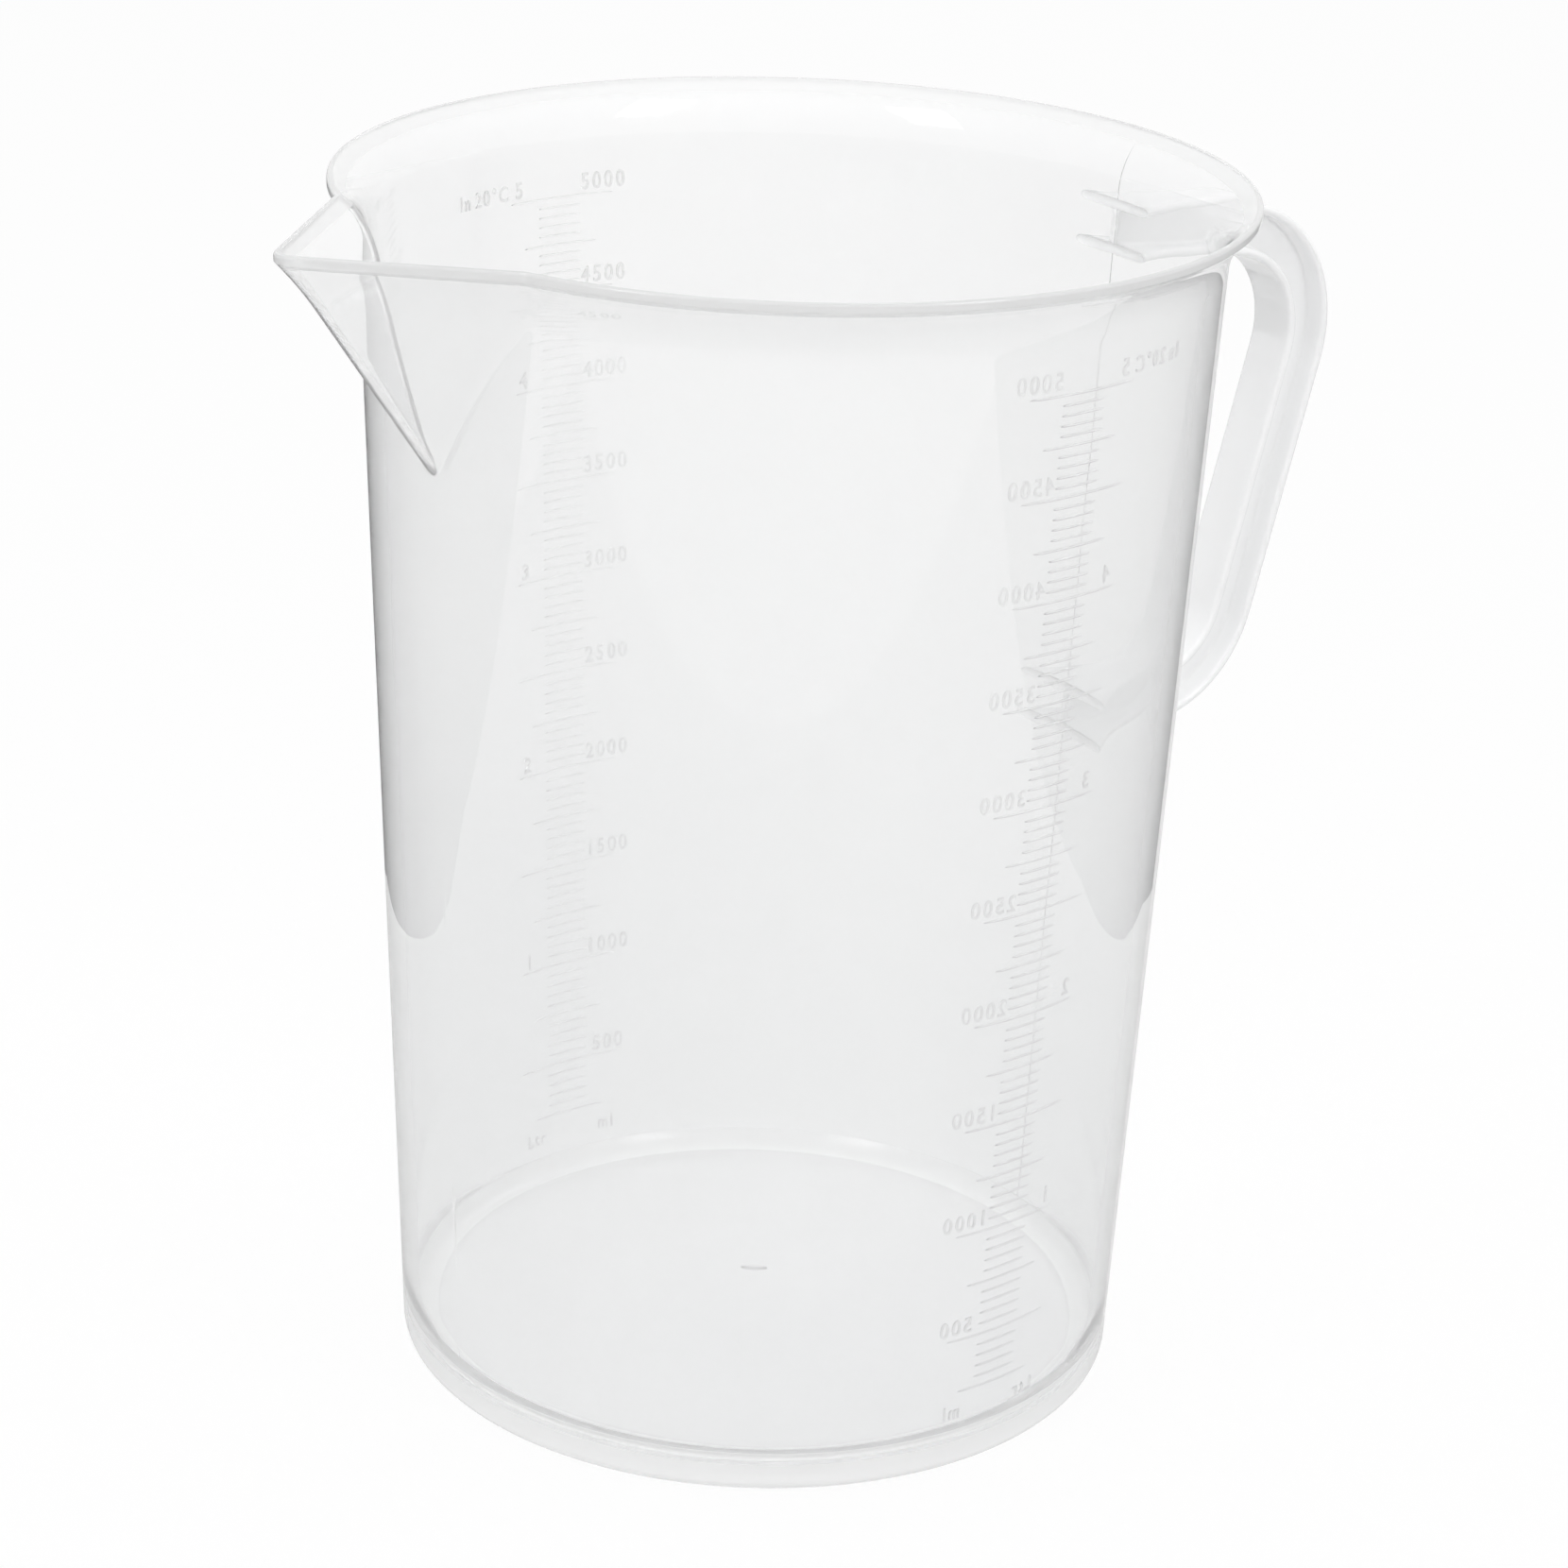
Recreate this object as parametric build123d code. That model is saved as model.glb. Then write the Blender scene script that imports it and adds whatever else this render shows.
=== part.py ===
from build123d import *
import math
import os

# Five-litre moulded measuring jug: tapered cup with a V spout and a flared rim, an open I-section
# handle and two ladders of raised volume lines.  Millimetres, +Z up.
# Origin: centre of the foot ring on the table.  Handle towards +X, pouring spout towards -X,
# volume lines on the inner wall at -Y and +Y.

# Cup
height = 263.0
base_radius = 79.4  # outer wall at table level
draft_angle = 2.34  # degrees, the wall leans outward all the way up
wall = 2.1
floor_thickness = 2.7
foot_height = 2.0  # the floor is raised this much inside the foot ring
foot_width = 6.0  # foot ring, measured inward from the wall
bottom_round = 2.5  # outer corner of wall and foot
floor_round = 8.0  # inner corner of wall and floor

# Flared rim
rim_overhang = 5.7  # the lip stands this far outside the line of the wall
flare_height = 11.0  # the wall starts to curve out this far below the lip's lower edge
lip_height = 1.8  # upright edge of the lip
lip_width = 1.3  # level top of the lip, with its bevel
lip_bevel = 0.5  # on the lip's outer edge
flare_bands = 4  # straight bands that the V's flare is made of

# Pouring spout
spout_reach = 122.8  # tip, from the cup's axis
spout_drop = 50.0  # the ridge leaves the wall this far below the rim
spout_half_angle = 41.5  # degrees between the ridge's plane and each face of the V
spout_rim_angle = 44.0  # the same at the lip, where the V has opened with the flare
spout_nose = 5.0  # outer radius along the ridge
spout_curl = 1.5  # the ridge bends out by this much over the height of the flare

# Handle
handle_top = 247.9  # top of the upper arm where it meets the wall
handle_bottom = 124.2  # underside of the lower arm
handle_reach = 158.6  # corner of upper arm and grip before rounding, from the cup's axis
arm_drop = 6.5  # degrees, the upper arm falls away from the wall
grip_lean = 15.3  # degrees, the grip slopes in towards the foot
upper_bend = 31.5  # outer radii of the two bends
lower_bend = 30.0
handle_depth = 12.0  # across the I-section, outer face to inner face
flange_thickness = 2.0
flange_width = 12.5
web_thickness = 2.2
root_round = 35.0  # the flanges widen towards the wall along this radius
root_length = 17.5  # from the wall at the upper arm to where the widening starts
handle_edge = 1.0  # rounding of the edges that the hand touches

# Volume lines
capacity = 5000  # millilitres
line_step = 50
first_line = 250
line_relief = 0.35
line_width = 0.55
major_length = 27.0  # every 500 ml
medium_length = 19.0  # every 250 ml
minor_length = 11.0
major_step = 500
medium_step = 250
ladder_turn = 88.2  # degrees from the handle to the middle of each ladder, before the shift
ladder_shift = 1.3  # degrees that both ladders are turned together, -Y one towards the handle

slope = math.tan(math.radians(draft_angle))
side_wall = wall / math.cos(math.radians(draft_angle))
floor_top = foot_height + floor_thickness
lip_bottom = height - lip_height
flare_start = lip_bottom - flare_height


def wall_radius(z):
    return base_radius + slope * z


rim_radius = wall_radius(lip_bottom) + rim_overhang
spout_root = height - spout_drop
ridge_run = spout_reach - spout_curl - wall_radius(spout_root)
spout_lean = ridge_run / (lip_bottom - spout_root)
half_v = math.radians(spout_half_angle)
open_v = math.radians(spout_rim_angle)
picking = 0.3  # an edge this near to a line counts as lying on it


def revolved(inset, base, corner, rim):
    # Solid of revolution under the wall line moved in by inset, from the rounded corner at its base
    # up to the start of the flare, then curving out to the first of the rim's points.
    foot = (wall_radius(base) - inset, base)
    bend = (wall_radius(flare_start) - inset, flare_start)
    outline = Line(foot, bend)
    outline += TangentArc(bend, rim[0], tangent=(slope, 1))
    outline += Polyline(*rim, (0, rim[-1][1]), (0, base), foot)
    body = revolve(Plane.XZ * make_face(outline), Axis.Z)
    edge = body.edges().filter_by(GeomType.CIRCLE).group_by(Axis.Z)[0]
    return fillet(edge, corner)


def spout_section(z, centre, nose, angle):
    # Level section of the V: a nose arc and two straight faces that run back to the foot of the
    # perpendicular from the cup's axis.
    reach = centre * math.sin(angle) + nose
    end = (-reach * math.sin(angle), reach * math.cos(angle))
    touch = (-centre - nose * math.sin(angle), nose * math.cos(angle))
    tip = (-centre - nose, 0)
    outline = Line(end, touch)
    outline += ThreePointArc(touch, tip, (touch[0], -touch[1]))
    outline += Polyline((touch[0], -touch[1]), (end[0], -end[1]), end)
    return Pos(0, 0, z) * make_face(outline)


def spout_form(inset, lip):
    # The V moved in by inset.  It opens with the flare of the wall, and its faces meet the lip at a
    # corner.  The lip is a list of heights, each with how far the V is moved in there.
    centre_top = spout_reach - spout_nose
    centre_flare = centre_top - spout_curl - spout_lean * (lip_bottom - flare_start)
    low = spout_root - 3 * spout_nose
    centre_low = centre_flare - spout_lean * (flare_start - low)
    sections = [spout_section(low, centre_low, spout_nose - inset, half_v)]
    lip_start, lip_inset = lip[0]
    for band in range(flare_bands + 1):
        share = band / flare_bands
        z = flare_start + share * (lip_start - flare_start)
        centre = centre_flare + share * (centre_top - spout_curl - centre_flare)
        centre += share**2 * spout_curl
        nose = spout_nose - inset - share * (lip_inset - inset)
        sections.append(spout_section(z, centre, nose, half_v + share**2 * (open_v - half_v)))
    for z, lip_inset in lip[1:]:
        sections.append(spout_section(z, centre_top, spout_nose - lip_inset, open_v))
    return loft(sections, ruled=True)


def outer_form():
    upright = height - lip_bevel
    rim = [(rim_radius, lip_bottom), (rim_radius, upright), (rim_radius - lip_bevel, height)]
    body = revolved(0, 0, bottom_round, rim)
    spout = spout_form(0, [(lip_bottom, 0), (upright, 0), (height, lip_bevel)])
    return body + spout


def inner_form():
    above = height + 3 * wall
    face_lean = spout_lean * math.sin(half_v)
    face_wall = wall * math.sqrt(1 + face_lean**2)
    rim = [(rim_radius - lip_width, height), (rim_radius - lip_width, above)]
    body = revolved(side_wall, floor_top, floor_round, rim)
    spout = spout_form(face_wall, [(height, lip_width), (above, lip_width)])
    return body + spout


def cup_body(outside):
    recess = Cylinder(
        base_radius - foot_width, foot_height, align=(Align.CENTER, Align.CENTER, Align.MIN)
    )
    recess = chamfer(recess.edges().group_by(Axis.Z)[-1], foot_height / 2)
    return outside - inner_form() - recess


def meet(first, second):
    # Crossing point of two lines, each given as a unit normal and its distance from the origin.
    (a, b), c = first
    (d, e), f = second
    scale = a * e - b * d
    return ((c * e - b * f) / scale, (a * f - c * d) / scale)


def handle_path(inset):
    # Outer face of the handle in its own plane (distance from the axis, height), moved in by inset.
    drop = math.radians(arm_drop)
    lean = math.radians(grip_lean)
    arm_normal = (-math.sin(drop), -math.cos(drop))
    grip_normal = (-math.cos(lean), math.sin(lean))
    arm_place = arm_normal[0] * wall_radius(handle_top) + arm_normal[1] * handle_top
    arm_end = handle_top - math.tan(drop) * (handle_reach - wall_radius(handle_top))
    grip_place = grip_normal[0] * handle_reach + grip_normal[1] * arm_end
    arm = (arm_normal, arm_place + inset)
    grip = (grip_normal, grip_place + inset)
    foot = ((0, 1), handle_bottom + inset)
    inside = ((1, 0), base_radius - handle_depth)
    corners = [meet(arm, inside), meet(arm, grip), meet(grip, foot), meet(foot, inside)]
    return FilletPolyline(*corners, radius=[upper_bend - inset, lower_bend - inset])


def handle_band(start, end):
    # Strip of the handle's side view between two depths below its outer face.
    near = handle_path(start)
    far = handle_path(end)
    outline = near + far + Line(near @ 0, far @ 0) + Line(near @ 1, far @ 1)
    return Plane.XZ * make_face(outline)


def flange_plan():
    # Plan view of both flanges: parallel along the grip, widening to the wall.
    half = flange_width / 2
    tangent_x = wall_radius(handle_top) + root_length
    inside_x = base_radius - handle_depth / 2
    back = tangent_x - inside_x
    wide = half + root_round - math.sqrt(root_round**2 - back**2)
    corner = (inside_x, wide)
    start = (tangent_x, half)
    far = handle_reach + handle_depth
    outline = TangentArc(start, corner, tangent=(-1, 0))
    outline += Line(corner, (corner[0], -corner[1]))
    outline += TangentArc((tangent_x, -half), (corner[0], -corner[1]), tangent=(-1, 0))
    outline += Polyline(start, (far, half), (far, -half), (tangent_x, -half))
    return make_face(outline)


def on_rail(edge, rail):
    # True for a long side edge of the flange face that follows the rail.
    middle = edge @ 0.5
    aside = min(abs((edge @ share).Y) for share in (0, 0.5, 1))
    if aside < flange_width / 2 - picking:
        return False
    return rail.distance_to((middle.X, 0, middle.Z)) < picking


def handle(outside):
    inner_start = handle_depth - flange_thickness
    flanges = extrude(handle_band(0, flange_thickness), amount=root_round, both=True)
    flanges += extrude(handle_band(inner_start, handle_depth), amount=root_round, both=True)
    flanges = flanges & extrude(flange_plan(), amount=height)
    web = extrude(handle_band(0, handle_depth), amount=web_thickness / 2, both=True)
    beam = flanges + web - outside
    rails = [Plane.XZ * handle_path(depth) for depth in (0, handle_depth)]
    long_edges = beam.edges().filter_by(lambda edge: any(on_rail(edge, rail) for rail in rails))
    return fillet(long_edges, min(handle_edge, 0.9 * flange_thickness))


def line_height(volume):
    # Liquid level for a volume in millilitres: frustum above the floor, less the floor's rounding.
    inner_foot = base_radius - side_wall + slope * floor_top
    corner_area = floor_round**2 * (1 - math.pi / 4)
    corner_middle = floor_round * (5 / 6 - math.pi / 4) / (1 - math.pi / 4)
    corner_ring = 2 * math.pi * (inner_foot - corner_middle) * corner_area
    cube = inner_foot**3 + 3 * slope * (volume * 1000 + corner_ring) / math.pi
    return floor_top + (cube ** (1 / 3) - inner_foot) / slope


def volume_line(volume, facing):
    # One raised line: a narrow band of the inner wall, turned through the line's length.
    if volume % major_step == 0:
        length = major_length
    elif volume % medium_step == 0:
        length = medium_length
    else:
        length = minor_length
    middle = line_height(volume)
    low = middle - line_width / 2
    high = middle + line_width / 2
    inner_low = wall_radius(low) - side_wall
    inner_high = wall_radius(high) - side_wall
    turn = math.degrees(length / (wall_radius(middle) - side_wall))
    outline = Polyline(
        (inner_low, low),
        (inner_high, high),
        (inner_high - line_relief, high),
        (inner_low - line_relief, low),
        close=True,
    )
    bar = revolve(Plane.XZ * make_face(outline), Axis.Z, turn)
    return Rot(0, 0, facing - turn / 2) * bar


def scale(facing):
    volumes = range(first_line, capacity + 1, line_step)
    return Compound(children=[volume_line(volume, facing) for volume in volumes])


def main():
    outside = outer_form()
    nodes = {
        "cup_body": cup_body(outside),
        "handle": handle(outside),
        "front_scale": scale(ladder_shift - ladder_turn),
        "back_scale": scale(ladder_shift + ladder_turn),
    }
    os.makedirs("parts", exist_ok=True)
    for name, shape in nodes.items():
        export_step(shape, f"parts/{name}.step")


main()
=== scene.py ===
import math
import bpy
import numpy as np
from mathutils import Matrix, Vector


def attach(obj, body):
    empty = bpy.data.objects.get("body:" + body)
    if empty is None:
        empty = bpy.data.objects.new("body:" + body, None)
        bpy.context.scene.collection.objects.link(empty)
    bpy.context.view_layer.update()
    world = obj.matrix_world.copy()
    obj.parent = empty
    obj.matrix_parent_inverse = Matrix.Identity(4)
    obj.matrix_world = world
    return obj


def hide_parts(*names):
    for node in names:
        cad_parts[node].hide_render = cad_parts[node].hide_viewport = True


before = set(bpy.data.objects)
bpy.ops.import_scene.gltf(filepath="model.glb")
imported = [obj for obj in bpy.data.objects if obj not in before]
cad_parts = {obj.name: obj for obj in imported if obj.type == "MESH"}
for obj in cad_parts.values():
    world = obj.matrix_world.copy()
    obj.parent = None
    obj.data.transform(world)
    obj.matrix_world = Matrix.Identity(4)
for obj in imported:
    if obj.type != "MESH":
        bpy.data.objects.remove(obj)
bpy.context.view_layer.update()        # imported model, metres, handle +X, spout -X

scene = bpy.context.scene
mm = 0.001                      # metres in a millimetre
arcStep = math.radians(15)      # widest turn between two points of a rounding
straight = 1e-4                 # a turn smaller than this, in radians, needs no rounding
print("frame loaded:", sorted(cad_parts))


def gridFaces(rows, columns):
    # Quads of a grid whose last column joins its first: each takes a point, its right
    # neighbour and the two above them.
    row = np.arange(rows - 1)[:, None] * columns
    left = np.arange(columns)[None, :]
    right = (left + 1) % columns
    corners = [row + left, row + right, row + columns + right, row + columns + left]
    return np.stack(np.broadcast_arrays(*corners), axis=-1).reshape(-1, 4)


def fanFaces(pole, ring):
    # Triangles from one pole point to each edge of a ring.
    return np.stack([np.full(len(ring), pole), ring, np.roll(ring, -1)], axis=-1)


def capFaces(rows, columns):
    # Triangles that close such a grid: its first ring round a pole point, its last ring round
    # another. The two poles follow the grid's own points.
    ring = np.arange(columns)
    first = fanFaces(rows * columns, ring[::-1])
    return np.concatenate([first, fanFaces(rows * columns + 1, (rows - 1) * columns + ring)])


def signedVolume(points, triangles):
    # A sixth of the summed triple products: positive where the faces point outwards.
    a, b, c = (points[triangles[:, k]] for k in range(3))
    return np.einsum("ij,ij->i", a, np.cross(b, c)).sum() / 6


def addObject(name, data):
    thing = bpy.data.objects.new(name, data)
    scene.collection.objects.link(thing)
    return thing


def addSurface(name, points, quads, triangles):
    # One smooth-shaded piece from arrays of points, quads and triangles, turned outwards.
    split = np.concatenate([quads[:, [0, 1, 2]], quads[:, [0, 2, 3]], triangles])
    if signedVolume(points, split) < 0:
        quads, triangles = quads[:, ::-1], triangles[:, ::-1]
    loops = np.concatenate([quads.ravel(), triangles.ravel()]).astype(np.int32)
    sizes = np.concatenate([np.full(len(quads), 4), np.full(len(triangles), 3)])
    starts = (np.cumsum(sizes) - sizes).astype(np.int32)
    mesh = bpy.data.meshes.new(name)
    mesh.vertices.add(len(points))
    mesh.vertices.foreach_set("co", points.astype(np.float32).ravel())
    mesh.loops.add(len(loops))
    mesh.loops.foreach_set("vertex_index", loops)
    mesh.polygons.add(len(sizes))
    mesh.polygons.foreach_set("loop_start", starts)
    mesh.update(calc_edges=True)
    mesh.validate()
    mesh.shade_smooth()
    return addObject(name, mesh)


def addFlat(name, points, faces):
    # One flat-shaded piece from lists of points and faces.
    mesh = bpy.data.meshes.new(name)
    mesh.from_pydata(points, [], faces)
    mesh.validate()
    return addObject(name, mesh)


def setFinishes(piece, slots):
    # Empty material slots, as many as the faces use, and the slot of each face.
    for slot in range(slots.max() + 1):
        piece.data.materials.append(None)
    piece.data.polygons.foreach_set("material_index", slots.astype(np.int32))


def roundedRun(corners):
    # Path through corners, each with its place, the radius of its rounding and the widest
    # spacing on the straight run after it. A rounding is an arc tangent to both its runs.
    places, radii, gaps = zip(*corners)
    places = [np.array(place, float) for place in places]
    arcs = []
    for before, at, after, radius in zip(places, places[1:], places[2:], radii[1:]):
        into = (at - before) / np.linalg.norm(at - before)
        out = (after - at) / np.linalg.norm(after - at)
        turn = math.atan2(into[0] * out[1] - into[1] * out[0], into @ out)
        if radius == 0 or abs(turn) < straight:
            arcs.append(at[None, :])
            continue
        inward = math.copysign(1, turn) * np.array([-into[1], into[0]])
        centre = at - into * radius * math.tan(abs(turn) / 2) + inward * radius
        steps = max(3, int(abs(turn) / arcStep) + 1)
        sweep = np.linspace(0, abs(turn), steps + 1)[:, None]
        arcs.append(centre - inward * radius * np.cos(sweep) + into * radius * np.sin(sweep))
    path = [places[0][None, :]]
    for arc, gap in zip(arcs + [places[-1][None, :]], gaps):
        last = path[-1][-1]
        count = max(1, math.ceil(np.linalg.norm(arc[0] - last) / gap))
        share = np.linspace(0, 1, count + 1)[1:-1, None]
        path += [last + share * (arc[0] - last), arc]
    return np.concatenate(path)


cup = {
    "height": 263.0, "baseRadius": 79.4, "draft": 2.34, "wall": 2.1, "floor": 2.7,
    "footHeight": 2.0, "footWidth": 6.0, "footChamfer": 1.0, "footEdge": 0.5, "footTread": 0.4,
    "bottomRound": 2.5, "floorRound": 8.0,      # outer and inner corner between wall and floor
    "overhang": 5.699, "flare": 11.0, "lipHeight": 1.8, "lipWidth": 1.3,
    "lipUnder": 0.45, "lipOutside": 0.6, "lipInside": 0.35,     # roundings of the lip's edges
    "spoutReach": 122.78, "spoutDrop": 49.0, "spoutHalf": 41.5, "spoutRim": 44.0,
    "spoutNose": 5.0,
    "spoutCurl": 1.5,       # how far the ridge bends out over the height of the flare
    "crease": 0.6,          # softness of the fold between wall and spout
    "creaseLoss": 0.7,      # share of that softness lost at the lip
    "seam": {               # ridge left where the mould's halves meet
        "proud": 0.12, "half": 0.35,
        "low": 4.0, "lowFade": 6.0,         # height where it starts, and over which it grows
        "underLip": 1.0, "highFade": 3.0,   # where it ends under the lip, and how gently
        "spoutSide": 0.15, "underSpout": 4.0,       # strength and end on the spout's side
    },
    # in the order of the material slots
    "finishes": ["clearPlastic", "lipPlastic", "footPlastic", "cornerPlastic", "floorPlastic"],
    "finishEdges": {        # where one finish gives way to the next
        "lipDown": 0.2,     # down from the lip's lower edge
        "footBand": 6.0,    # up from the table
        "underIn": 1.0,     # in from the foot's outer edge
        "floorIn": 1.5,     # in from the foot ring
        "cornerShare": 0.7,         # of the height of the inner rounding
    },
    "rows": {               # widest spacing of the rows on each stretch, and rows of the flare
        "floor": 6.0, "foot": 1.5, "edge": 0.5, "wall": 4.5, "spout": 0.95, "flare": 1.0, "lip": 0.6,
        "underSpout": 6.0,          # how far below the spout the close rows begin
        "outerFlare": 15, "innerFlare": 16,
    },
    "columns": {            # their number and density, with what is added over how many degrees
        "count": 332, "even": 0.55, "nose": (6, 3.2), "fold": (1.6, 24), "seam": (12, 0.35),
    },
}
slope = math.tan(math.radians(cup["draft"]))
sideWall = cup["wall"] / math.cos(math.radians(cup["draft"]))
lipBottom = cup["height"] - cup["lipHeight"]
flareStart = lipBottom - cup["flare"]
floorTop = cup["footHeight"] + cup["floor"]
innerFoot = cup["baseRadius"] - sideWall + slope * floorTop         # inner wall at the floor
spoutRoot = cup["height"] - cup["spoutDrop"]


def wallRadius(z):
    # Outside of the tapered wall at a height.
    return cup["baseRadius"] + slope * z


rimRadius = wallRadius(lipBottom) + cup["overhang"]


def tangentArc(start, end, count):
    # Arc that leaves start along the wall's line and ends at end.
    along = np.array([slope, 1]) / math.hypot(slope, 1)
    across = np.array([along[1], -along[0]])
    chord = np.array(end) - np.array(start)
    radius = chord @ chord / (2 * chord @ across)
    sweep = np.linspace(0, 2 * math.atan2(chord @ across, chord @ along), count)[:, None]
    return start + across * radius * (1 - np.cos(sweep)) + along * radius * np.sin(sweep)


def cupSection():
    # Half section of the cup: recess under the floor, foot, outer wall, flare, lip, then back
    # down the inside to the middle of the floor. Gives the points and the row where the lip's
    # top turns inward.
    gap = cup["rows"]
    foot = cup["baseRadius"] - cup["footWidth"]
    recess = cup["footHeight"]
    lowSpout = spoutRoot - gap["underSpout"]
    lipTop = cup["height"]
    outerStart = (wallRadius(flareStart), flareStart)
    outerEnd = (rimRadius, lipBottom)
    innerStart = (wallRadius(flareStart) - sideWall, flareStart)
    innerEnd = (rimRadius - cup["lipWidth"], lipTop)
    outerFlare = tangentArc(outerStart, outerEnd, gap["outerFlare"])
    innerFlare = tangentArc(innerStart, innerEnd, gap["innerFlare"])[::-1]
    section = roundedRun([
        ((0, recess), 0, gap["floor"]),
        ((foot - cup["footChamfer"], recess), cup["footEdge"], gap["edge"]),
        ((foot, recess - cup["footChamfer"]), cup["footEdge"], gap["edge"]),
        ((foot, 0), cup["footTread"], gap["foot"]),
        ((cup["baseRadius"], 0), cup["bottomRound"], gap["wall"]),
        ((wallRadius(lowSpout), lowSpout), 0, gap["spout"]),
        *[(place, 0, gap["flare"]) for place in outerFlare[:-1]],
        (outerFlare[-1], cup["lipUnder"], gap["lip"]),
        ((rimRadius, lipTop), cup["lipOutside"], gap["edge"]),
        (innerFlare[0], cup["lipInside"], gap["flare"]),
        *[(place, 0, gap["flare"]) for place in innerFlare[1:-1]],
        (innerFlare[-1], 0, gap["spout"]),
        ((wallRadius(lowSpout) - sideWall, lowSpout), 0, gap["wall"]),
        ((innerFoot, floorTop), cup["floorRound"], gap["floor"]),
        ((0, floorTop), 0, gap["floor"]),
    ])
    return section, int(np.argmax(section[:, 1] > lipTop - 1e-6))


def columnAngles():
    # Angles from the spout, closest together at its nose, over its folds and on the seam: equal
    # steps of the running total of a density, which is an even part with three humps on it.
    columns = cup["columns"]
    (nose, noseReach), (fold, foldReach), (seam, seamReach) = (columns[k] for k in ("nose", "fold", "seam"))
    fine = np.linspace(-math.pi, math.pi, 8001)
    degrees = np.degrees(np.abs(fine))
    density = columns["even"] + nose * np.exp(-(degrees / noseReach) ** 2)
    density += fold * np.exp(-(degrees / foldReach) ** 4)
    density += seam * np.exp(-((180 - degrees) / seamReach) ** 2)
    total = np.concatenate([[0], np.cumsum((density[1:] + density[:-1]) / 2)])
    return np.interp(np.arange(columns["count"]) / columns["count"], total / total[-1], fine)


def spoutRadius(delta, centre, half, nose):
    # Distance from the axis to the V at an angle delta from the spout: a nose arc about the
    # point at centre, then the straight face that is tangent to it, whose foot of the
    # perpendicular from the axis lies at 90 degrees less the half angle. Nothing beyond that.
    away = np.abs(delta)
    lean = math.pi / 2 - half
    touch = np.arctan2(nose * np.cos(half), centre + nose * np.sin(half))
    past = np.minimum(away - lean, 1.2)         # kept off the right angle, where cosine is zero
    face = (centre * np.sin(half) + nose) / np.cos(past)
    arc = centre * np.cos(away) + np.sqrt(np.maximum(nose**2 - (centre * np.sin(away)) ** 2, 0))
    return np.where(away < touch, arc, np.where(away < lean, face, 0))


def spoutForm(delta, radius, z, outside, share):
    # The V over (row, angle). Its centre leans out with height; over the flare, where share
    # runs from 0 to 1, it also curls out and its faces open until they meet the lip. The
    # inside lies one wall further in.
    curl, nose = cup["spoutCurl"], cup["spoutNose"]
    half, openHalf = math.radians(cup["spoutHalf"]), math.radians(cup["spoutRim"])
    lean = (cup["spoutReach"] - curl - wallRadius(spoutRoot)) / (lipBottom - spoutRoot)
    faceWall = cup["wall"] * math.sqrt(1 + (lean * math.sin(half)) ** 2)
    centre = cup["spoutReach"] - nose - lean * (lipBottom - flareStart) * (1 - share)
    centre = centre - lean * np.clip(flareStart - z, 0, None) - curl * (1 - share**2)
    centre = np.maximum(centre, cup["baseRadius"] / 2)      # never near the axis
    overLip = np.where(z > lipBottom, np.clip(rimRadius - radius, 0, None), 0)
    inward = np.where(outside, overLip, faceWall + share * (cup["lipWidth"] - faceWall))
    opened = half + share**2 * (openHalf - half)
    spout = spoutRadius(delta, centre[:, None], opened[:, None], (nose - inward)[:, None])
    return np.where((z > spoutRoot - cup["rows"]["underSpout"])[:, None], spout, 0)


def seamRidge(delta, radius, z, outside):
    # Height of the parting ridge: a hump, 1 less the square of its distance aside over its
    # half width, in the handle's plane on the outer wall. It fades out over the bottom corner
    # and under the lip, and is fainter on the spout's side, where it ends under the spout.
    seam = cup["seam"]
    aside = np.minimum(np.abs(delta), math.pi - np.abs(delta)) * radius[:, None]
    hump = np.maximum(1 - (aside / seam["half"]) ** 2, 0)
    rise = np.clip((z - seam["low"]) / seam["lowFade"], 0, 1)
    fall = np.clip((lipBottom - seam["underLip"] - z) / seam["highFade"], 0, 1)
    spoutSide = seam["spoutSide"] * (z < spoutRoot - seam["underSpout"])[:, None]
    strength = np.where(np.abs(delta) > math.pi / 2, 1, spoutSide)
    return seam["proud"] * hump * (rise * fall * outside)[:, None] * strength


def cupFinish(radius, z, outside):
    # Finish of each row of faces, as a place in the list of finishes: the first that applies.
    edges = cup["finishEdges"]
    innerCorner = floorTop + cup["floorRound"] * edges["cornerShare"]
    floorEdge = cup["baseRadius"] - cup["footWidth"] - edges["floorIn"]
    low = z < np.where(outside, edges["footBand"], innerCorner)
    under = radius < cup["baseRadius"] - edges["underIn"]
    lip = z > lipBottom - edges["lipDown"]
    where = [~outside & (radius < floorEdge), low & (under | ~outside), low, lip]
    names = ["floorPlastic", "cornerPlastic", "footPlastic", "lipPlastic"]
    return np.select(where, [cup["finishes"].index(name) for name in names], 0)


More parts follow.
